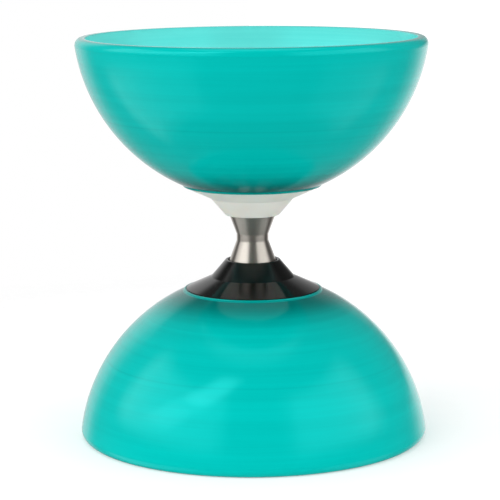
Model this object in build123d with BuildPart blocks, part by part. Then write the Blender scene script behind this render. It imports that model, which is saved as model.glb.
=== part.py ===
from build123d import *

from math import atan2, cos, degrees, isclose, pi, radians, sqrt, tan
import os

# Diabolo: two cups back to back on one axle, with a sleeve that runs on two ball bearings and a one-way
# clutch. Millimetres. The origin is the centre of the lower rim, and +Z runs up the axle. Both ends are
# alike, so every piece of an end is drawn once, in (radius, distance from the middle), on a plane that
# points out of that end.

# --- driving dimensions -------------------------------------------------------------------------------------
CUP_DIAMETER = 125.0
OVERALL_HEIGHT = 143.8

DOME_RADIUS = 64.6  # the cup's outer face is one round arc
DOME_CENTRE_R = -1.45  # the arc's centre lies this far past the axle
LIP_WIDTH = 2.3  # the rounded outer edge of the rim, across
LIP_HEIGHT = 2.8  # and along the axle
LIP_INNER_RADIUS = 0.4
CUP_WALL = 4.0
CUP_HOLE_RADIUS = 8.0
CUP_SEAT_RADIUS = 13.5  # flat seat for the clamp washer, inside the cup
BEAD_RADIUS = 0.45  # a round bead moulded on the cup, just outside the hub's flange
BEAD_GAP = 0.1

NOSE_DISTANCE = 8.15  # the hub's nose stands this far from the middle
RECESS_RADIUS = 8.75
STEEP_ANGLE = 40.5  # from the axle, nose to tier edge
TIER_RADIUS = 15.0
TIER_DISTANCE = 14.3
FLANGE_RADIUS = 23.9
FLANGE_EDGE = 0.35
NOSE_ROUNDING = 0.42
HUB_ON_CUP_GAP = 0.05
SPIGOT_GAP = 0.03
SPIGOT_SHORTFALL = 0.2  # so that the washer grips the cup, not the hub

NECK_RADIUS = 5.7
NECK_HALF_LENGTH = 1.2
NECK_ROUNDING = 1.5
SLEEVE_END_RADIUS = 8.3
SLEEVE_CONE_END = 8.2
SLEEVE_EDGE_ROUNDING = 0.3

AXLE_RADIUS = 3.0
AXLE_HALF_LENGTH = 32.5
THREAD_RADIUS = 2.95  # over the crests of an M6 thread
THREAD_START = 14.0
THREAD_CHAMFER = 0.6
AXLE_CLEARANCE = 0.05  # of holes that only pass over the axle

BEARING_RADIUS = 6.5  # a 6 x 13 x 5 ball bearing
BEARING_WIDTH = 5.0
BEARING_START = 6.2
BALL_COUNT = 8
BALL_RADIUS = 0.98
BALL_CLEARANCE = 0.02
BALL_CIRCLE_RADIUS = 4.75
INNER_SHOULDER_RADIUS = 3.95
OUTER_SHOULDER_RADIUS = 5.55
BALL_CAGE_RADII = (4.25, 5.25)
BALL_CAGE_HALF_WIDTH = 1.3
BALL_POCKET_RADIUS = 1.06
BALL_POCKET_DEPTH = 2.0
SHIELD_RADII = (4.15, 5.75)
SHIELD_THICKNESS = 0.2
SHIELD_INSET = 0.1
SPACER_RADIUS = 3.9
SPACER_THICKNESS = 0.5

CLUTCH_RADIUS = 5.0  # a 6 x 10 x 12 drawn-cup clutch
CLUTCH_HALF_LENGTH = 6.0
CLUTCH_END_WALL = 0.5
CLUTCH_MOUTH_RADIUS = 3.4
CLUTCH_TRACK_RADIUS = 4.36
ROLLER_COUNT = 8
ROLLER_RADIUS = 0.7
ROLLER_LENGTH = 7.0
ROLLER_CLEARANCE = 0.02
RAMP_RADIUS = 1.62
RAMP_CENTRE_RADIUS = 2.9
RAMP_LEAD_ANGLE = 6.0  # each ramp's deepest point lies this far round from its roller
ROLLER_CAGE_RADII = (3.12, 4.28)
ROLLER_CAGE_HALF_LENGTH = 5.2
ROLLER_WINDOW_WIDTH = 1.5
SPRING_SLOT_WIDTH = 0.4
SPRING_THICKNESS = 0.1
SPRING_HEIGHT = 0.9
SPRING_LENGTH = 6.0

CLAMP_WASHER_RADIUS = 13.0
CLAMP_WASHER_THICKNESS = 1.5
WASHER_RADIUS = 6.0
WASHER_THICKNESS = 1.6
WASHER_CHAMFER = 0.25
NUT_SIDES = 6
NUT_ACROSS_FLATS = 10.0
NUT_HEX_HEIGHT = 4.6
NUT_HEIGHT = 6.0
NUT_COLLAR_RADIUS = 4.5
NUT_COLLAR_ROUNDING = 0.7
NUT_CORNER_ANGLE = 30.0
INSERT_RADIUS = 3.9
INSERT_THICKNESS = 1.3

# --- what follows from them ---------------------------------------------------------------------------------
MIDDLE = OVERALL_HEIGHT / 2
RIM_DISTANCE = OVERALL_HEIGHT / 2
CUP_RADIUS = CUP_DIAMETER / 2
LIP_DISTANCE = RIM_DISTANCE - LIP_HEIGHT
DOME_CENTRE_DISTANCE = LIP_DISTANCE + sqrt(DOME_RADIUS**2 - (CUP_RADIUS - DOME_CENTRE_R) ** 2)
DOME_CENTRE = (DOME_CENTRE_R, DOME_CENTRE_DISTANCE)
INNER_DOME_RADIUS = DOME_RADIUS - CUP_WALL
BEAD_CIRCLE_RADIUS = FLANGE_RADIUS + BEAD_GAP + BEAD_RADIUS

BEARING_END = BEARING_START + BEARING_WIDTH
BALL_DISTANCE = BEARING_START + BEARING_WIDTH / 2
GROOVE_RADIUS = BALL_RADIUS + BALL_CLEARANCE
ROLLER_CIRCLE_RADIUS = AXLE_RADIUS + ROLLER_CLEARANCE + ROLLER_RADIUS
RECESS_FLOOR = BEARING_END + SPACER_THICKNESS

MIDDLE_PLANE = Plane(origin=(0, 0, MIDDLE), x_dir=(1, 0, 0), z_dir=(0, -1, 0))


def dome_distance(radius, dome_radius):
    """How far from the middle a dome around the cup's centre lies, at a radius from the axle."""
    return DOME_CENTRE_DISTANCE - sqrt(dome_radius**2 - (radius - DOME_CENTRE_R) ** 2)


def dome_arc(dome_radius, start_radius, end_radius):
    """The stretch of a dome's arc between two radii from the axle, in the profile being drawn."""
    start, end = (
        degrees(atan2(dome_distance(r, dome_radius) - DOME_CENTRE_DISTANCE, r - DOME_CENTRE_R))
        for r in (start_radius, end_radius)
    )
    return CenterArc(DOME_CENTRE, dome_radius, start, end - start)


def ring_profile(inner_radius, outer_radius, start, end):
    """A rectangle between two radii and two distances from the middle."""
    with Locations(((inner_radius + outer_radius) / 2, (start + end) / 2)):
        return Rectangle(outer_radius - inner_radius, end - start)


def washer_profile(outer_radius, start, end):
    """A washer that passes over the axle, with its two outer corners broken."""
    section = ring_profile(AXLE_RADIUS + AXLE_CLEARANCE, outer_radius, start, end)
    chamfer(section.vertices().sort_by(Axis.X)[-2:], WASHER_CHAMFER)


def round_edges(piece, radius):
    """The circular edges of a piece that have this radius."""
    return piece.edges().filter_by(GeomType.CIRCLE).filter_by(lambda edge: isclose(edge.radius, radius))


def finish(piece, name):
    """Names a finished piece and writes it."""
    piece.part.label = name
    export_step(piece.part, f"parts/{name}.step")


os.makedirs("parts", exist_ok=True)

SEAT_DISTANCE = dome_distance(CUP_SEAT_RADIUS, INNER_DOME_RADIUS)
CLAMP_WASHER_END = SEAT_DISTANCE + CLAMP_WASHER_THICKNESS
WASHER_END = CLAMP_WASHER_END + WASHER_THICKNESS

# --- the two ends -------------------------------------------------------------------------------------------
for end, side in (("lower", -1), ("upper", 1)):
    profile_plane = Plane(origin=(0, 0, MIDDLE), x_dir=(1, 0, 0), z_dir=(0, -side, 0))

    # Cup: a bowl with its mouth outwards, a rounded rim, a flat seat round the hole in its base, and a bead
    # that frames the hub.
    with BuildPart() as cup:
        with BuildSketch(profile_plane):
            with BuildLine():
                dome_arc(DOME_RADIUS, CUP_HOLE_RADIUS, CUP_RADIUS)
                lip = EllipticalCenterArc(
                    (CUP_RADIUS - LIP_WIDTH, LIP_DISTANCE), LIP_WIDTH, LIP_HEIGHT, start_angle=0, arc_size=90
                )
                rim_inner_radius = DOME_CENTRE_R + sqrt(
                    INNER_DOME_RADIUS**2 - (DOME_CENTRE_DISTANCE - RIM_DISTANCE) ** 2
                )
                Line(lip @ 1, (rim_inner_radius, RIM_DISTANCE))
                dome_arc(INNER_DOME_RADIUS, rim_inner_radius, CUP_SEAT_RADIUS)
                Polyline(
                    (CUP_SEAT_RADIUS, SEAT_DISTANCE),
                    (CUP_HOLE_RADIUS, SEAT_DISTANCE),
                    (CUP_HOLE_RADIUS, dome_distance(CUP_HOLE_RADIUS, DOME_RADIUS)),
                )
            section = make_face()
            rim_corner = section.vertices().sort_by_distance((rim_inner_radius, RIM_DISTANCE))[0]
            fillet(rim_corner, LIP_INNER_RADIUS)
            with Locations((BEAD_CIRCLE_RADIUS, dome_distance(BEAD_CIRCLE_RADIUS, DOME_RADIUS))):
                Circle(BEAD_RADIUS)
        revolve(axis=Axis.Z)
    finish(cup, f"{end}_cup")

    # Hub: a nose with a recess for the sleeve, a steep cone, a flared flange that lies on the cup, and a
    # spigot that passes through the cup's hole.
    nose_radius = TIER_RADIUS - (TIER_DISTANCE - NOSE_DISTANCE) * tan(radians(STEEP_ANGLE))
    flange_bottom = dome_distance(FLANGE_RADIUS, DOME_RADIUS + HUB_ON_CUP_GAP)
    spigot_radius = CUP_HOLE_RADIUS - SPIGOT_GAP
    spigot_end = SEAT_DISTANCE - SPIGOT_SHORTFALL
    hub_hole_radius = AXLE_RADIUS + AXLE_CLEARANCE
    with BuildPart() as hub:
        with BuildSketch(profile_plane):
            with BuildLine():
                FilletPolyline(
                    (RECESS_RADIUS, RECESS_FLOOR),
                    (RECESS_RADIUS, NOSE_DISTANCE),
                    (nose_radius, NOSE_DISTANCE),
                    (TIER_RADIUS, TIER_DISTANCE),
                    radius=NOSE_ROUNDING,
                )
                Polyline(
                    (TIER_RADIUS, TIER_DISTANCE),
                    (FLANGE_RADIUS, flange_bottom - FLANGE_EDGE),
                    (FLANGE_RADIUS, flange_bottom),
                )
                dome_arc(DOME_RADIUS + HUB_ON_CUP_GAP, FLANGE_RADIUS, spigot_radius)
                Polyline(
                    (spigot_radius, dome_distance(spigot_radius, DOME_RADIUS + HUB_ON_CUP_GAP)),
                    (spigot_radius, spigot_end),
                    (hub_hole_radius, spigot_end),
                    (hub_hole_radius, RECESS_FLOOR),
                    (RECESS_RADIUS, RECESS_FLOOR),
                )
            make_face()
        revolve(axis=Axis.Z)
    finish(hub, f"{end}_hub")

    # Clamp washer: spreads the nut's grip over the cup's seat.
    with BuildPart() as clamp_washer:
        with BuildSketch(profile_plane):
            washer_profile(CLAMP_WASHER_RADIUS, SEAT_DISTANCE, CLAMP_WASHER_END)
        revolve(axis=Axis.Z)
    finish(clamp_washer, f"{end}_clamp_washer")

    # Plain washer under the nut.
    with BuildPart() as washer:
        with BuildSketch(profile_plane):
            washer_profile(WASHER_RADIUS, CLAMP_WASHER_END, WASHER_END)
        revolve(axis=Axis.Z)
    finish(washer, f"{end}_washer")

    # Lock nut: a hexagon with turned corners, and a round collar that holds a nylon insert.
    nut_plane = Plane(origin=(0, 0, MIDDLE + side * WASHER_END), x_dir=(1, 0, 0), z_dir=(0, 0, side))
    corner_radius = NUT_ACROSS_FLATS / 2 / cos(pi / NUT_SIDES)
    corner_drop = (corner_radius - NUT_ACROSS_FLATS / 2 + WASHER_CHAMFER) * tan(radians(NUT_CORNER_ANGLE))
    hex_end = WASHER_END + NUT_HEX_HEIGHT
    with BuildPart() as nut:
        with BuildSketch(nut_plane):
            RegularPolygon(NUT_ACROSS_FLATS / 2, NUT_SIDES, major_radius=False)
        extrude(amount=NUT_HEX_HEIGHT)
        with BuildSketch(profile_plane):
            with BuildLine():
                Polyline(
                    (0, WASHER_END),
                    (NUT_ACROSS_FLATS / 2 - WASHER_CHAMFER, WASHER_END),
                    (corner_radius, WASHER_END + corner_drop),
                    (corner_radius, hex_end - corner_drop),
                    (NUT_ACROSS_FLATS / 2 - WASHER_CHAMFER, hex_end),
                    (0, hex_end),
                    close=True,
                )
            make_face()
        revolve(axis=Axis.Z, mode=Mode.INTERSECT)
        with BuildSketch(nut_plane.offset(NUT_HEX_HEIGHT)):
            Circle(NUT_COLLAR_RADIUS)
        extrude(amount=NUT_HEIGHT - NUT_HEX_HEIGHT)
        fillet(nut.faces().sort_by(profile_plane.location.y_axis)[-1].edges(), NUT_COLLAR_ROUNDING)
        with BuildSketch(nut_plane):
            Circle(AXLE_RADIUS)
        extrude(amount=NUT_HEIGHT, mode=Mode.SUBTRACT)
        with BuildSketch(nut_plane.offset(NUT_HEX_HEIGHT)):
            Circle(INSERT_RADIUS)
        extrude(amount=INSERT_THICKNESS, mode=Mode.SUBTRACT)
    finish(nut, f"{end}_lock_nut")

    # Nylon insert: grips the thread so that the nut stays where it is set.
    with BuildPart() as insert:
        with BuildSketch(profile_plane):
            ring_profile(AXLE_RADIUS, INSERT_RADIUS, hex_end, hex_end + INSERT_THICKNESS)
        revolve(axis=Axis.Z)
    finish(insert, f"{end}_nut_insert")

    # Ball bearing: inner ring on the axle, outer ring in the sleeve, and a shield on each face.
    with BuildPart() as inner_ring:
        with BuildSketch(profile_plane):
            ring_profile(AXLE_RADIUS, INNER_SHOULDER_RADIUS, BEARING_START, BEARING_END)
            with Locations((BALL_CIRCLE_RADIUS, BALL_DISTANCE)):
                Circle(GROOVE_RADIUS, mode=Mode.SUBTRACT)
        revolve(axis=Axis.Z)
    finish(inner_ring, f"{end}_bearing_inner_ring")

    shield_spans = [
        (BEARING_START + SHIELD_INSET, BEARING_START + SHIELD_INSET + SHIELD_THICKNESS),
        (BEARING_END - SHIELD_INSET - SHIELD_THICKNESS, BEARING_END - SHIELD_INSET),
    ]
    with BuildPart() as outer_ring:
        with BuildSketch(profile_plane):
            ring_profile(OUTER_SHOULDER_RADIUS, BEARING_RADIUS, BEARING_START, BEARING_END)
            with Locations((BALL_CIRCLE_RADIUS, BALL_DISTANCE)):
                Circle(GROOVE_RADIUS, mode=Mode.SUBTRACT)
        revolve(axis=Axis.Z)
        for start, stop in shield_spans:
            with BuildSketch(profile_plane):
                ring_profile(OUTER_SHOULDER_RADIUS, SHIELD_RADII[1], start, stop)
            revolve(axis=Axis.Z, mode=Mode.SUBTRACT)
    finish(outer_ring, f"{end}_bearing_outer_ring")

    with BuildPart() as shields:
        for start, stop in shield_spans:
            with BuildSketch(profile_plane):
                ring_profile(*SHIELD_RADII, start, stop)
            revolve(axis=Axis.Z)
    finish(shields, f"{end}_bearing_shields")

    ball_plane = Plane(origin=(0, 0, MIDDLE + side * BALL_DISTANCE), z_dir=(0, 0, side))
    with BuildPart(ball_plane) as balls:
        with PolarLocations(BALL_CIRCLE_RADIUS, BALL_COUNT):
            Sphere(BALL_RADIUS)
    finish(balls, f"{end}_balls")

    with BuildPart(ball_plane) as ball_cage:
        with BuildSketch(profile_plane):
            ring_profile(
                *BALL_CAGE_RADII, BALL_DISTANCE - BALL_CAGE_HALF_WIDTH, BALL_DISTANCE + BALL_CAGE_HALF_WIDTH
            )
        revolve(axis=Axis.Z)
        with PolarLocations(BALL_CIRCLE_RADIUS, BALL_COUNT):
            Cylinder(BALL_POCKET_RADIUS, BALL_POCKET_DEPTH, rotation=(0, 90, 0), mode=Mode.SUBTRACT)
    finish(ball_cage, f"{end}_ball_cage")

    # Spacer: holds the hub clear of everything in the bearing but its inner ring.
    with BuildPart() as spacer:
        with BuildSketch(profile_plane):
            ring_profile(AXLE_RADIUS + AXLE_CLEARANCE, SPACER_RADIUS, BEARING_END, RECESS_FLOOR)
        revolve(axis=Axis.Z)
    finish(spacer, f"{end}_spacer")

# --- the middle ---------------------------------------------------------------------------------------------
# Axle: a ground rod, threaded from inside each hub outwards.
with BuildPart() as axle_rod:
    with BuildSketch(MIDDLE_PLANE):
        ring_profile(0, AXLE_RADIUS, -THREAD_START, THREAD_START)
        ring_profile(0, THREAD_RADIUS, -AXLE_HALF_LENGTH, AXLE_HALF_LENGTH)
    revolve(axis=Axis.Z)
    rod_ends = axle_rod.edges().group_by(Axis.Z)
    chamfer(rod_ends[0] + rod_ends[-1], THREAD_CHAMFER)
finish(axle_rod, "axle_rod")

# Sleeve: the turned hourglass that the string runs on, bored for the clutch and both bearings.
with BuildPart() as axle_sleeve:
    with BuildSketch(MIDDLE_PLANE):
        with BuildLine():
            outline = [
                (CLUTCH_RADIUS, 0),
                (CLUTCH_RADIUS, BEARING_START),
                (BEARING_RADIUS, BEARING_START),
                (BEARING_RADIUS, BEARING_END),
                (SLEEVE_END_RADIUS, BEARING_END),
                (SLEEVE_END_RADIUS, SLEEVE_CONE_END),
                (NECK_RADIUS, NECK_HALF_LENGTH),
                (NECK_RADIUS, 0),
            ]
            Polyline(outline, close=True)
        make_face()
        mirror(about=Plane.XZ)
    revolve(axis=Axis.Z)
    fillet(round_edges(axle_sleeve, NECK_RADIUS), NECK_ROUNDING)
    fillet(round_edges(axle_sleeve, SLEEVE_END_RADIUS), SLEEVE_EDGE_ROUNDING)
finish(axle_sleeve, "axle_sleeve")

# One-way clutch: a drawn shell with a ramp over each roller, so the rollers jam on the axle one way round.
clutch_bottom = Plane.XY.offset(MIDDLE - CLUTCH_HALF_LENGTH)
with BuildPart() as clutch_shell:
    with BuildSketch(clutch_bottom):
        Circle(CLUTCH_RADIUS)
        Circle(CLUTCH_MOUTH_RADIUS, mode=Mode.SUBTRACT)
    extrude(amount=2 * CLUTCH_HALF_LENGTH)
    with BuildSketch(clutch_bottom.offset(CLUTCH_END_WALL)):
        Circle(CLUTCH_TRACK_RADIUS)
        with PolarLocations(RAMP_CENTRE_RADIUS, ROLLER_COUNT, start_angle=RAMP_LEAD_ANGLE):
            Circle(RAMP_RADIUS)
    extrude(amount=2 * (CLUTCH_HALF_LENGTH - CLUTCH_END_WALL), mode=Mode.SUBTRACT)
finish(clutch_shell, "clutch_shell")

with BuildPart() as clutch_rollers:
    with BuildSketch(Plane.XY.offset(MIDDLE)):
        with PolarLocations(ROLLER_CIRCLE_RADIUS, ROLLER_COUNT):
            Circle(ROLLER_RADIUS)
    extrude(amount=ROLLER_LENGTH / 2, both=True)
finish(clutch_rollers, "clutch_rollers")

# The cage's windows leave room beside each roller for its spring.
window_offset = -SPRING_SLOT_WIDTH / 2
with BuildPart() as clutch_cage:
    with BuildSketch(Plane.XY.offset(MIDDLE)):
        Circle(ROLLER_CAGE_RADII[1])
        Circle(ROLLER_CAGE_RADII[0], mode=Mode.SUBTRACT)
    extrude(amount=ROLLER_CAGE_HALF_LENGTH, both=True)
    with BuildSketch(Plane.XY.offset(MIDDLE)):
        with PolarLocations(ROLLER_CIRCLE_RADIUS, ROLLER_COUNT):
            with Locations((0, window_offset)):
                Rectangle(2 * ROLLER_RADIUS, ROLLER_WINDOW_WIDTH + SPRING_SLOT_WIDTH)
    extrude(amount=ROLLER_LENGTH / 2 + SPRING_THICKNESS, both=True, mode=Mode.SUBTRACT)
finish(clutch_cage, "clutch_cage")

# One leaf spring behind each roller pushes it towards the narrow end of its ramp.
spring_offset = -(ROLLER_WINDOW_WIDTH + SPRING_SLOT_WIDTH) / 2
with BuildPart() as clutch_springs:
    with BuildSketch(Plane.XY.offset(MIDDLE)):
        with PolarLocations(ROLLER_CIRCLE_RADIUS, ROLLER_COUNT):
            with Locations((0, spring_offset)):
                Rectangle(SPRING_HEIGHT, SPRING_THICKNESS)
    extrude(amount=SPRING_LENGTH / 2, both=True)
finish(clutch_springs, "clutch_springs")
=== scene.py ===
# %% [markdown]
# # A bearing diabolo, finished in Blender
#
# A diabolo is two cups set back to back on an axle, with a waisted sleeve between them that a string
# runs on. This one has glossy turquoise cups, one white and one black hub, and a turned steel sleeve
# that spins on ball bearings and a one-way clutch.
#
# The machined parts come in as a fixed frame, in metres, standing on the lower cup's rim with +Z up the
# axle. This lesson gives every part its finish, and builds in mesh the one piece whose shape needs more
# than the frame holds: the axle with its real screw threads.

# %% Load the frame
from math import pi, radians, sqrt

import bmesh
import bpy
from mathutils import Matrix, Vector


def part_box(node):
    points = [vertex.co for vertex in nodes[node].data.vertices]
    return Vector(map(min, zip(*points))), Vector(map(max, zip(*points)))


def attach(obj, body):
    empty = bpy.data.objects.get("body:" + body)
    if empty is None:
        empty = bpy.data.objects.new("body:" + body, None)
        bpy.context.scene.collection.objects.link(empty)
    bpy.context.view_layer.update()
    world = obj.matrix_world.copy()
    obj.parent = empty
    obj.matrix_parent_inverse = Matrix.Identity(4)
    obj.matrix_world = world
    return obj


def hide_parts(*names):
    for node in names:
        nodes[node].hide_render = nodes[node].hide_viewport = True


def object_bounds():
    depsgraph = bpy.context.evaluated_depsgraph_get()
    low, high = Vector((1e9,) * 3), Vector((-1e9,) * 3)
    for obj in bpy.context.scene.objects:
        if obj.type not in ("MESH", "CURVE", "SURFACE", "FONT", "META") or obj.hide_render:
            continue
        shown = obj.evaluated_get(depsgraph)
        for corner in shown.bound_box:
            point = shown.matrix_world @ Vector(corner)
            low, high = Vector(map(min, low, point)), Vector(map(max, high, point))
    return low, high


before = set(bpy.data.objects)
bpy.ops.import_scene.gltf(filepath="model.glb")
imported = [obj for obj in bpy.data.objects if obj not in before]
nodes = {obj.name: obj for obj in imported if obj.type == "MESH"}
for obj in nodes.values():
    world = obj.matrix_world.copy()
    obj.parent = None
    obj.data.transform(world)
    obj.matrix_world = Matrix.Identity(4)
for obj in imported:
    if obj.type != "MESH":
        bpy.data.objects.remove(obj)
cad_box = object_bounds()

# %% [markdown]
# ## Sizes
#
# Both ends are alike, so a few measures are enough. The middle of the axle, the rim's radius and the
# height of the whole diabolo come from the frame. The cup's outer face is one round arc, whose radius
# and shift repeat the design's own, because a mesh no longer says them. Knowing where that arc is
# centred lets a finish tell the outside of a cup from its inside.

# %% Sizes from the frame
MM = 0.001
ENDS = ("lower", "upper")
low, high = cad_box
HEIGHT = high.z - low.z
MIDDLE = (high.z + low.z) / 2
RIM_RADIUS = high.x
DOME_RADIUS = 64.6 * MM
DOME_SHIFT = 1.45 * MM  # the arc's centre lies this far past the axle
LIP_HEIGHT = 2.8 * MM
CUP_WALL = 4.0 * MM
DOME_DISTANCE = HEIGHT / 2 - LIP_HEIGHT + sqrt(DOME_RADIUS**2 - (RIM_RADIUS + DOME_SHIFT) ** 2)
print(f"height {HEIGHT:.4f} m, rim radius {RIM_RADIUS:.4f} m")
print(f"the domes' centres are {DOME_DISTANCE:.4f} m from the middle")

# %% [markdown]
# ## Writing shaders as sums
#
# A finish is mostly arithmetic on textures: so much of this, less of that. Node graphs could be wired
# one socket at a time, which is long and hard to read. Instead `Wire` wraps a socket so that such sums
# can be written as Python, and `Graph` adds every other node.

# %% Wires and graphs
class Wire:
    """A shader socket that can be used in sums."""

    def __init__(self, graph, socket):
        self.graph = graph
        self.socket = socket

    def math(self, operation, *values):
        return self.graph.math(operation, self, *values)

    def __add__(self, other):
        return self.graph.math("ADD", self, other)

    def __sub__(self, other):
        return self.graph.math("SUBTRACT", self, other)

    def __mul__(self, other):
        return self.graph.math("MULTIPLY", self, other)

    def __truediv__(self, other):
        return self.graph.math("DIVIDE", self, other)

    def __radd__(self, other):
        return self.graph.math("ADD", other, self)

    def __rsub__(self, other):
        return self.graph.math("SUBTRACT", other, self)

    def __rmul__(self, other):
        return self.graph.math("MULTIPLY", other, self)

    def outputs(self, *names):
        """The node's other outputs, by name."""
        return [Wire(self.graph, self.socket.node.outputs[name]) for name in names]


class Graph:
    """A node tree, to which nodes are added by type."""

    def __init__(self, tree):
        self.tree = tree

    def node(self, kind, settings, inputs, output=0):
        made = self.tree.nodes.new(kind)
        for key, value in settings.items():
            setattr(made, key, value)
        for key, value in inputs.items():
            self.plug(value, made.inputs[key])
        return Wire(self, made.outputs[output])

    def plug(self, value, socket):
        if isinstance(value, Wire):
            self.tree.links.new(value.socket, socket)
        else:
            socket.default_value = value

    def math(self, operation, *values):
        return self.node("ShaderNodeMath", {"operation": operation}, dict(enumerate(values)))

    def split(self, vector):
        """A vector's three parts."""
        return self.node("ShaderNodeSeparateXYZ", {}, {0: vector}).outputs("X", "Y", "Z")

    def join(self, x, y, z):
        return self.node("ShaderNodeCombineXYZ", {}, {0: x, 1: y, 2: z})

    def step(self, value, start, end, low=0.0, high=1.0):
        """A soft step from low to high, as the value goes from start to end."""
        settings = {"interpolation_type": "SMOOTHSTEP"}
        return self.node("ShaderNodeMapRange", settings, {0: value, 1: start, 2: end, 3: low, 4: high})

    def mix(self, factor, a, b):
        """Colours a and b, mixed."""
        return self.node("ShaderNodeMix", {"data_type": "RGBA"}, {0: factor, 6: a, 7: b}, output=2)

# %% [markdown]
# ## One finish, one material
#
# `Finish` is a graph that ends in a Principled shader. What is the same all over a surface is set on the
# shader itself, and only what changes from place to place is fed in. The patterns all follow the axle,
# because nearly every part was turned or moulded round it, so one helper gives the height, the distance
# from the axle, and the place itself.

# %% Finishes
class Finish(Graph):
    """One material, whose constants are set on the shader itself."""

    def __init__(self, name, **constants):
        self.material = bpy.data.materials.new(name)
        self.material.use_nodes = True
        super().__init__(self.material.node_tree)
        self.shader = self.tree.nodes["Principled BSDF"]
        for socket, value in constants.items():
            self.shader.inputs[socket.replace("_", " ")].default_value = value

    def place(self):
        """Where a point is: x, y, distance from the axle and height above the middle, in metres."""
        x, y, z = self.split(self.node("ShaderNodeTexCoord", {}, {}, output="Object"))
        radius = (x * x + y * y).math("SQRT")
        return x, y, radius, z - MIDDLE

    def noise(self, vector, scale, detail=3.0, roughness=0.5):
        inputs = {"Vector": vector, "Scale": scale, "Detail": detail, "Roughness": roughness}
        return self.node("ShaderNodeTexNoise", {}, inputs)

    def rings(self, along, spacing, sway=6.0, detail=2.0, roughness=0.6):
        """Noise drawn out round the axle into fine rings, spacing metres apart."""
        x, y, _, _ = self.place()
        return self.noise(self.join(x * sway, y * sway, along / spacing), 1.0, detail, roughness)

    def bump(self, height, strength, distance):
        inputs = {"Strength": strength, "Distance": distance, "Height": height}
        return self.node("ShaderNodeBump", {}, inputs)

    def feed(self, **sockets):
        for socket, value in sockets.items():
            self.plug(value, self.shader.inputs[socket.replace("_", " ")])
        return self.material


def dress(material, *names):
    """Gives frame parts a material."""
    for name in names:
        mesh = nodes[name].data
        mesh.materials.clear()
        mesh.materials.append(material)
    print(material.name, "on", ", ".join(names))


def both_ends(*names):
    return [f"{end}_{name}" for end in ENDS for name in names]

# %% [markdown]
# ## Cup plastic
#
# The cups are injection-moulded in soft, tinted polyurethane. The melt runs round the mould as it
# fills, and leaves faint streaks that circle the cup. Light from behind comes through the wall, so the
# inside of a cup looks paler and milkier than its outside: that glow is painted light, a paler tint
# on the inside. Where the hub and the clamp washer stop that light, the plastic looks darker, and that
# is painted shade, as is the darker top of the rim. Light could be let through the wall in the shader.
# Putting it in the colour is simpler, and stays with the cup when its finish is baked, though it can't
# change with the light.
#
# The streaks could be a picture wrapped on the dome, but a noise drawn out round the axle does the same
# at any size. Measuring it along the dome's arc, and not by height, keeps the streaks evenly spaced
# where the cup turns flat towards its hub. The same measure places one thin flow line.

# %% Cup colours
OUTER_TINTS = (0.0, 0.46, 0.42, 1.0), (0.0, 0.52, 0.475, 1.0)
# Paler tints for the inside of a cup: painted light, the glow of light coming through the wall.
INNER_PAINTED_GLOW_TINTS = (0.13, 0.72, 0.68, 1.0), (0.19, 0.80, 0.76, 1.0)
# The colour that painted shade near the hub and on the rim top darkens towards, and also the colour of the
# real flow line.
SHADE_AND_FLOW_LINE_TINT = (0.0, 0.03, 0.025, 1.0)
# The bead round the hub: the plastic's own colour with a little painted shade, spared the deep painted shade
# round it.
BEAD_TINT = (0.0, 0.33, 0.30, 1.0)
REFLECTION_TINT = (0.08, 1.0, 1.0, 1.0)
FLOW_LINE_ARC = 64.7 * MM  # along the dome from its pole
# The inside of a cup takes only this share of the painted shade near the hub.
INSIDE_SHADE = 0.25  # how much of the hub's shade the inside of a cup takes


# %% Cup plastic
def hub_shade(finish, radius):
    """Painted shadow near the hub, where it stops light through the wall: a wide faint ring, and a narrower
    deep one.
    """
    wide = finish.step(radius, 60.0 * MM, 38.0 * MM) * 0.04
    deep = finish.step(radius, 40.0 * MM, 26.0 * MM) * 0.70
    return wide + deep


def cup_plastic():
    finish = Finish("cup_plastic", IOR=1.48)
    finish.shader.inputs["Specular Tint"].default_value = REFLECTION_TINT
    x, y, radius, height = finish.place()
    reach = radius + DOME_SHIFT
    distance = height.math("ABSOLUTE")
    depth = DOME_DISTANCE - distance
    arc = reach.math("ARCTAN2", depth) * DOME_RADIUS
    shell = (reach * reach + depth * depth).math("SQRT")
    inside = finish.step(shell, DOME_RADIUS - 0.75 * CUP_WALL, DOME_RADIUS - 0.95 * CUP_WALL)
    # The rim's top is painted darker: painted shade.
    rim_top_shade = finish.step(distance, HEIGHT / 2 - 0.5 * MM, HEIGHT / 2 - 0.1 * MM)

    broad = finish.noise(finish.join(x * 5.0, y * 5.0, arc / (6.0 * MM)), 1.0, 3.0, 0.55)
    fine = finish.noise(finish.join(x * 9.0, y * 9.0, arc / (1.4 * MM)), 1.0, 4.0, 0.65)
    streaks = finish.step(broad * 0.5 + fine * 0.5, 0.3, 0.7)
    # The inside of a cup takes the paler tints: painted light, the glow of light through the wall.
    tint = finish.mix(inside, finish.mix(streaks, *OUTER_TINTS), finish.mix(streaks, *INNER_PAINTED_GLOW_TINTS))
    flow_line = finish.step((arc - FLOW_LINE_ARC).math("ABSOLUTE"), 0.5 * MM, 0.1 * MM) * 0.08
    # Painted shade near the hub and on the rim top, plus the flow line, a real moulding mark.
    shade_and_flow_line = hub_shade(finish, radius) * (1.0 - inside * (1.0 - INSIDE_SHADE)) + flow_line + rim_top_shade * 0.25
    # The bead is spared the painted shade near the hub, and takes its own slightly shaded tint instead.
    bead = finish.step(radius, 25.3 * MM, 25.0 * MM) * (1.0 - inside)
    return finish.feed(
        Base_Color=finish.mix(bead, finish.mix(shade_and_flow_line, tint, SHADE_AND_FLOW_LINE_TINT), BEAD_TINT),
        Roughness=0.10 + fine * 0.08,
        Normal=finish.bump(broad + fine * 0.5, 0.2, 0.03 * MM),
    )


dress(cup_plastic(), *both_ends("cup"))

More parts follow.
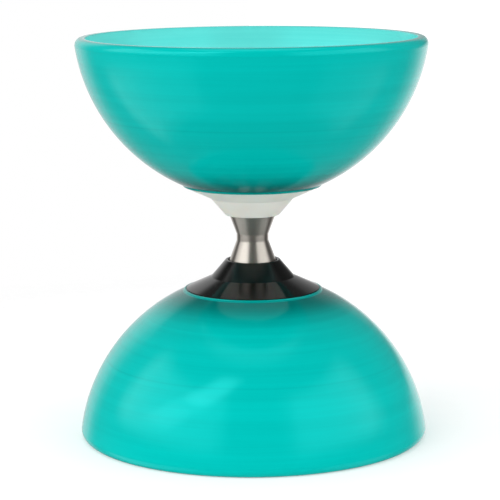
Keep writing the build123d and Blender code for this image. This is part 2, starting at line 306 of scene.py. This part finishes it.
# %% [markdown]
# ## Hubs
#
# The two hubs are the same turned shape in two plastics, black and milky white, so that a juggler can
# tell the locking side of the clutch. A cutter leaves fine rings on a turned part. They are far too
# shallow to model, so a bump follows the slope of the cone.
#
# Rings also change the gloss: a light is smeared across them into a streak that runs down the cone.
# The shader calls that anisotropy. Only the black plastic gets it, because it has little but its gloss
# to be seen by. The white one is milky, and lets a little light in below its skin.

# %% Hub plastics
def hub_plastic(name, dark, light, roughness, **constants):
    finish = Finish(name, **constants)
    x, y, radius, height = finish.place()
    slope = radius + height.math("ABSOLUTE")
    lines = finish.rings(slope, 0.35 * MM)
    cloud = finish.noise(finish.join(x, y, height), 90.0, 3.0)
    colour = finish.mix(finish.step(cloud, 0.3, 0.7), dark, light)
    return finish.feed(
        Base_Color=colour,
        Roughness=roughness + lines * 0.1 + cloud * 0.06,
        Normal=finish.bump(lines, 0.35, 0.03 * MM),
    )


TURNED = {"Anisotropic": 0.9, "Anisotropic_Rotation": 0.25}  # rings round the axle smear light along it
WHITE_TINTS = (0.96, 0.92, 0.83, 1.0), (0.99, 0.96, 0.88, 1.0)
BLACK_TINTS = (0.001, 0.0015, 0.0015, 1.0), (0.003, 0.0035, 0.003, 1.0)

MILKY = {"Subsurface_Weight": 0.2, "Subsurface_Scale": 1.5 * MM}
hub_white = hub_plastic("hub_white", *WHITE_TINTS, roughness=0.24, IOR=1.48, **MILKY)
hub_black = hub_plastic("hub_black", *BLACK_TINTS, roughness=0.06, IOR=1.46, **TURNED)
dress(hub_white, "upper_hub")
dress(hub_black, "lower_hub")

# %% [markdown]
# ## Turned and ground metal
#
# Most of the metal parts were cut or ground while they spun, so they carry rings round the axle, and
# differ only in colour, in gloss and in how far apart the rings are. One function with those three
# choices makes every one of them, which keeps the metals a family, and does for the few parts that were
# pressed or bent. `along` picks the direction in which the rings follow each other: up the axle on a
# sleeve, outwards on a washer. The gloss is smeared across the rings as on the black hub, and that makes
# the sleeve look turned and not just grey.

# %% Metal finishes
def turned_metal(name, colour, shine, spacing, along="height", depth=0.01, stain=0.08):
    finish = Finish(name, Metallic=1.0, **TURNED)
    x, y, radius, height = finish.place()
    lines = finish.rings(radius if along == "radius" else height, spacing, sway=40.0)
    cloud = finish.noise(finish.join(x, y, height), 160.0, 3.0)
    dull = tuple(channel * (1.0 - stain) for channel in colour)
    tone = finish.mix(finish.step(lines * 0.5 + cloud * 0.5, 0.35, 0.65), (*dull, 1.0), (*colour, 1.0))
    return finish.feed(
        Base_Color=tone,
        Roughness=shine + lines * 0.12 + cloud * 0.05,
        Normal=finish.bump(lines, 0.3, depth * MM),
    )


sleeve_steel = turned_metal("sleeve_steel", (0.62, 0.575, 0.52), shine=0.27, spacing=0.16 * MM)
aluminium = turned_metal(
    "washer_aluminium", (0.80, 0.81, 0.82), shine=0.22, spacing=0.25 * MM, along="radius", depth=0.02
)
zinc_plate = turned_metal(
    "zinc_plate", (0.66, 0.68, 0.70), shine=0.28, spacing=0.5 * MM, along="radius", stain=0.2
)
bearing_steel = turned_metal("bearing_steel", (0.62, 0.62, 0.61), shine=0.05, spacing=0.2 * MM, depth=0.004)
pressed_steel = turned_metal("pressed_steel", (0.56, 0.56, 0.55), shine=0.2, spacing=0.3 * MM, along="radius")

# %% Metal parts
dress(sleeve_steel, "axle_sleeve")
dress(aluminium, *both_ends("clamp_washer"))
dress(zinc_plate, *both_ends("washer", "lock_nut", "spacer"))
dress(bearing_steel, *both_ends("bearing_inner_ring", "bearing_outer_ring", "balls"), "clutch_rollers")
dress(pressed_steel, *both_ends("bearing_shields"), "clutch_shell", "clutch_springs")

# %% [markdown]
# ## Nylon
#
# The nuts' locking inserts and the cages are moulded nylon: matt, slightly cloudy, and never quite
# smooth. A fine noise in the colour and the bump gives the orange-peel skin of a small moulding.

# %% Nylon
def nylon(name, dark, light):
    finish = Finish(name, IOR=1.53, Subsurface_Weight=0.1, Subsurface_Scale=0.5 * MM)
    x, y, _, height = finish.place()
    cloud = finish.noise(finish.join(x, y, height), 900.0, 3.0)
    return finish.feed(
        Base_Color=finish.mix(cloud, dark, light),
        Roughness=0.38 + cloud * 0.2,
        Normal=finish.bump(cloud, 0.2, 0.02 * MM),
    )


insert_nylon = nylon("insert_nylon", (0.62, 0.61, 0.55, 1.0), (0.72, 0.71, 0.65, 1.0))
cage_nylon = nylon("cage_nylon", (0.38, 0.24, 0.12, 1.0), (0.48, 0.32, 0.17, 1.0))
dress(insert_nylon, *both_ends("nut_insert"))
dress(cage_nylon, *both_ends("ball_cage"), "clutch_cage")

# %% [markdown]
# ## The axle's threads
#
# The axle is a ground rod with a screw thread rolled on each end, which the lock nuts grip. The frame
# holds each thread as a plain cylinder over its crests. A bump would look flat on the edge of the rod, so the
# thread is real geometry here: its zigzag outline is spun once round the axle while it climbs by one
# pitch, so each tooth ends where the next began, and the doubles merge into one long helix.
#
# The helix is cut flat where the shank begins. Bridging that flat loop to another in the same plane can
# twist, and turn the shank inside out, so the shank stops a little short and a small cone joins them. A
# twisted rod is still closed, so the check prints the volume too.

# %% Thread sizes
_, axle_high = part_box("axle_rod")
PITCH = 1.0 * MM
CREST_RADIUS = 2.95 * MM
ROOT_RADIUS = CREST_RADIUS - 0.61 * PITCH
SHANK_RADIUS = axle_high.x
THREAD_START = 14.0 * MM
THREAD_END = axle_high.z - MIDDLE
SHANK_END = THREAD_START - 0.6 * MM  # a short cone leads from the shank down to the thread
END_CHAMFER = 0.8 * MM
SPARE_TURNS = 2  # at each end of the outline, to be cut off flat
AXLE_STEPS = 48
MERGE_DISTANCE = 0.002 * MM
LEVEL_TOLERANCE = 0.001 * MM
# radius, and share of a pitch along the axle
TOOTH = ((CREST_RADIUS, 0.0), (CREST_RADIUS, 0.15), (ROOT_RADIUS, 0.45), (ROOT_RADIUS, 0.7))
print(f"thread from {THREAD_START / MM:.1f} to {THREAD_END / MM:.1f} mm from the middle")


# %% One end's thread
def thread(side):
    """One end's thread as an open tube, from the shank to the flat end. Side is 1 above, -1 below."""
    tube = bmesh.new()
    turns = int((THREAD_END - THREAD_START) / PITCH) + 2 * SPARE_TURNS
    outline = []
    for turn in range(turns):
        base = THREAD_START + (turn - SPARE_TURNS) * PITCH
        for radius, share in TOOTH:
            outline.append(tube.verts.new((radius, 0.0, base + share * PITCH)))
    edges = [tube.edges.new(pair) for pair in zip(outline, outline[1:])]
    bmesh.ops.spin(
        tube,
        geom=outline + edges,
        cent=(0, 0, 0),
        axis=(0, 0, 1),
        dvec=(0, 0, PITCH / AXLE_STEPS),
        angle=2 * pi,
        steps=AXLE_STEPS,
    )
    bmesh.ops.remove_doubles(tube, verts=tube.verts, dist=MERGE_DISTANCE)
    for height, outward in ((THREAD_START, -1), (THREAD_END, 1)):
        geometry = tube.verts[:] + tube.edges[:] + tube.faces[:]
        bmesh.ops.bisect_plane(
            tube, geom=geometry, dist=0, plane_co=(0, 0, height), plane_no=(0, 0, outward), clear_outer=True
        )
    for vert in tube.verts:
        limit = CREST_RADIUS - END_CHAMFER + (THREAD_END - vert.co.z)
        radius = vert.co.xy.length
        if radius > limit:
            vert.co.xy *= limit / radius
    if side < 0:
        bmesh.ops.rotate(tube, cent=(0, 0, 0), matrix=Matrix.Rotation(pi, 3, "X"), verts=tube.verts)
    bmesh.ops.translate(tube, vec=(0, 0, MIDDLE), verts=tube.verts)
    return tube


def open_edges(piece, height):
    """The open edges that lie at one height."""
    return [
        edge
        for edge in piece.edges
        if edge.is_boundary and all(abs(vert.co.z - height) < LEVEL_TOLERANCE for vert in edge.verts)
    ]


# %% Adding a piece
def add_piece(name, shape, material, body, replaced):
    """Makes an object of a bmesh, ties it to a body, and hides the frame parts that it stands for."""
    mesh = bpy.data.meshes.new(name)
    shape.to_mesh(mesh)
    shape.free()
    mesh.materials.append(material)
    piece = bpy.data.objects.new(name, mesh)
    bpy.context.scene.collection.objects.link(piece)
    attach(piece, body)
    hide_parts(*replaced)
    print(name, len(mesh.polygons), "faces")


# %% The whole axle
def threaded_axle():
    rod = bmesh.new()
    for side in (-1, 1):
        part = thread(side)
        holder = bpy.data.meshes.new("thread")
        part.to_mesh(holder)
        part.free()
        rod.from_mesh(holder)
        bpy.data.meshes.remove(holder)
    bmesh.ops.create_cone(
        rod,
        cap_ends=False,
        segments=AXLE_STEPS,
        radius1=SHANK_RADIUS,
        radius2=SHANK_RADIUS,
        depth=2 * SHANK_END,
        matrix=Matrix.Translation((0, 0, MIDDLE)),
    )
    for side in (-1, 1):
        shank_loop = open_edges(rod, MIDDLE + side * SHANK_END)
        thread_loop = open_edges(rod, MIDDLE + side * THREAD_START)
        bmesh.ops.bridge_loops(rod, edges=thread_loop + shank_loop)
        bmesh.ops.holes_fill(rod, edges=open_edges(rod, MIDDLE + side * THREAD_END))
    bmesh.ops.recalc_face_normals(rod, faces=rod.faces)
    open_count = sum(1 for edge in rod.edges if not edge.is_manifold)
    print(f"axle: {open_count} open edges, {rod.calc_volume() / MM**3:.0f} cubic mm")
    return rod


axle_steel = turned_metal("axle_steel", (0.60, 0.60, 0.59), shine=0.14, spacing=0.2 * MM)
add_piece("axle_rod_threaded", threaded_axle(), axle_steel, "cups", ["axle_rod"])

# %% [markdown]
# ## Floor
#
# The diabolo stands on a sheet of pale paper. It is not part of the object.
# The paper catches the soft shadow under the rim, then grows clear with distance until the white studio
# shows through, so no far edge is seen. It gives off a little light of its own, which keeps it nearly as
# white as the studio. Glossy surfaces don't see it: a wide white floor would wash out the sides of the
# cups and the sleeve, so they reflect the lower half of the studio instead, which is mostly dim.

# %% Floor
FLOOR_HALF_WIDTH = 20.0
PAPER_GLOW = 0.15
PAPER_COVER = 0.75  # how solid the paper is under the diabolo
PAPER_FADE = (0.16, 0.32)  # from the axle, in metres


def floor_sheet(half_width):
    sheet = bmesh.new()
    bmesh.ops.create_grid(sheet, x_segments=1, y_segments=1, size=half_width)
    mesh = bpy.data.meshes.new("floor")
    sheet.to_mesh(mesh)
    sheet.free()
    floor = bpy.data.objects.new("floor", mesh)
    bpy.context.scene.collection.objects.link(floor)
    return floor


def floor_paper():
    finish = Finish("floor_paper", Roughness=0.9, Emission_Strength=PAPER_GLOW)
    x, y, radius, _ = finish.place()
    fibres = finish.noise(finish.join(x, y, 0.0), 60.0, 4.0)
    return finish.feed(
        Base_Color=finish.mix(fibres, (0.93, 0.93, 0.93, 1.0), (0.96, 0.96, 0.96, 1.0)),
        Alpha=finish.step(radius, *PAPER_FADE, PAPER_COVER, 0.0),
    )


floor = floor_sheet(FLOOR_HALF_WIDTH)
floor.data.materials.append(floor_paper())
floor.visible_glossy = False
print("floor", 2 * FLOOR_HALF_WIDTH, "m wide, clear from", PAPER_FADE[1], "m out")

# %% [markdown]
# ## Light
#
# The light is a studio seen as a function of direction, so it has no lamps at all. Straight at the
# camera it is plain white. For reflections it is dim, with a low soft window on each side, two small
# slanting lamps in front of the left one that leave bright patches on the cups, a bright ceiling, and
# paler stretches of wall and floor that light the edges. Matt surfaces get some light more from all
# round, as they would in a white room.
#
# Lamps would do too, but windows painted on the sky have edges that can be as soft as wanted, and being
# endlessly far away, they light every part from the same side. Angles are in degrees: across from the
# camera's side, and up from the horizon.

# %% Studio directions
world = bpy.data.worlds.new("studio")
bpy.context.scene.world = world
world.use_nodes = True
studio = Graph(world.node_tree)
background = world.node_tree.nodes["Background"]
sky_x, sky_y, sky_z = studio.split(studio.node("ShaderNodeTexCoord", {}, {}, output="Generated"))
azimuth = sky_x.math("ARCTAN2", -1.0 * sky_y)
elevation = sky_z.math("ARCSINE")


def ramp(angle, start, end, low=0.0, high=1.0):
    """A soft step between two angles in degrees."""
    return studio.step(angle, radians(start), radians(end), low, high)


def window(start, end, bottom, top, soft_sides, soft_ends, lean=0.0):
    """A soft-edged window between two azimuths and two elevations. It may lean to one side."""
    across = azimuth - elevation * lean
    left = ramp(across, start - soft_sides[0], start + soft_sides[0])
    right = ramp(across, end - soft_sides[1], end + soft_sides[1], 1.0, 0.0)
    lower = ramp(elevation, bottom - soft_ends[0], bottom + soft_ends[0])
    upper = ramp(elevation, top - soft_ends[1], top + soft_ends[1], 1.0, 0.0)
    return left * right * lower * upper


# %% Walls, windows and lamps
over_horizon = ramp(elevation, -4, 4)
left_wall = ramp(azimuth, -126, -150) * 0.7
right_back_floor = ramp(azimuth, 122, 155) * (1.0 - over_horizon)
right_wall = ramp(azimuth, 150, 168) * over_horizon * 0.35
wall_top = ramp(elevation, 28, 38, 1.0, 0.0)
wall_foot = ramp(elevation, -38, -8, 0.1, 1.0)
walls = (left_wall + right_back_floor + right_wall) * (wall_top * wall_foot)

side_windows = window(-107, -24, 10, 44, (8, 10), (6, 6)) + window(28, 96, 8, 44, (10, 12), (6, 6))
high_lamp = window(-106, -84, 36, 57, (3, 3), (2, 3), lean=1.25)
low_lamp = window(-106, -84, 18, 33, (3, 3), (3, 2), lean=1.25)
ceiling = ramp(elevation, 62, 74)
left_floor = window(-115, -40, -52, -20, (6, 10), (6, 6))
right_floor = window(50, 105, -52, -20, (10, 8), (6, 6))
front_floor = window(-45, 45, -60, -16, (22, 22), (8, 8))

# %% Studio light
DIM_LIGHT = 0.12
FILL_LIGHT = 0.55  # more light that only matt surfaces get
reflected = DIM_LIGHT + walls + left_floor * 0.8 + right_floor * 0.5 + front_floor * 0.2
reflected = reflected + side_windows * 1.75 + high_lamp * 4.0 + low_lamp * 2.0 + ceiling
seen = studio.node("ShaderNodeLightPath", {}, {}, output="Is Camera Ray")
scattered = seen.outputs("Is Diffuse Ray")[0]
studio.plug(seen.math("MAXIMUM", reflected + scattered * FILL_LIGHT), background.inputs["Strength"])
background.inputs["Color"].default_value = (1.0, 1.0, 1.0, 1.0)
print("studio light", len(world.node_tree.nodes), "nodes")

# %% [markdown]
# ## Camera
#
# A long lens from a little above keeps the two rims nearly the same width. The lens is shifted a little
# so that the camera can look less steeply down and still hold the whole diabolo in the frame. Standard
# colours keep the turquoise and the white as they are, where a film-like view would grey them.

# %% Camera
CAMERA_DISTANCE = 0.7171
CAMERA_HEIGHT = 0.1901
CAMERA_ASIDE = -0.0009
CAMERA_PITCH = 0.1552  # radians below the horizon
CAMERA_ROLL = -0.0063
SENSOR_WIDTH = 36.0
LENS = 145.64
LENS_SHIFT = -0.06

camera_data = bpy.data.cameras.new("camera")
camera_data.sensor_width = SENSOR_WIDTH
camera_data.lens = LENS
camera_data.shift_y = LENS_SHIFT
camera = bpy.data.objects.new("camera", camera_data)
camera.location = (CAMERA_ASIDE, -CAMERA_DISTANCE, CAMERA_HEIGHT)
camera.rotation_mode = "QUATERNION"
tilt = Matrix.Rotation(pi / 2 - CAMERA_PITCH, 4, "X") @ Matrix.Rotation(CAMERA_ROLL, 4, "Z")
camera.rotation_quaternion = tilt.to_quaternion()
bpy.context.scene.collection.objects.link(camera)
bpy.context.scene.camera = camera
bpy.context.scene.view_settings.view_transform = "Standard"
print(f"camera {CAMERA_DISTANCE} m in front, {CAMERA_HEIGHT} m up, lens {LENS} mm")
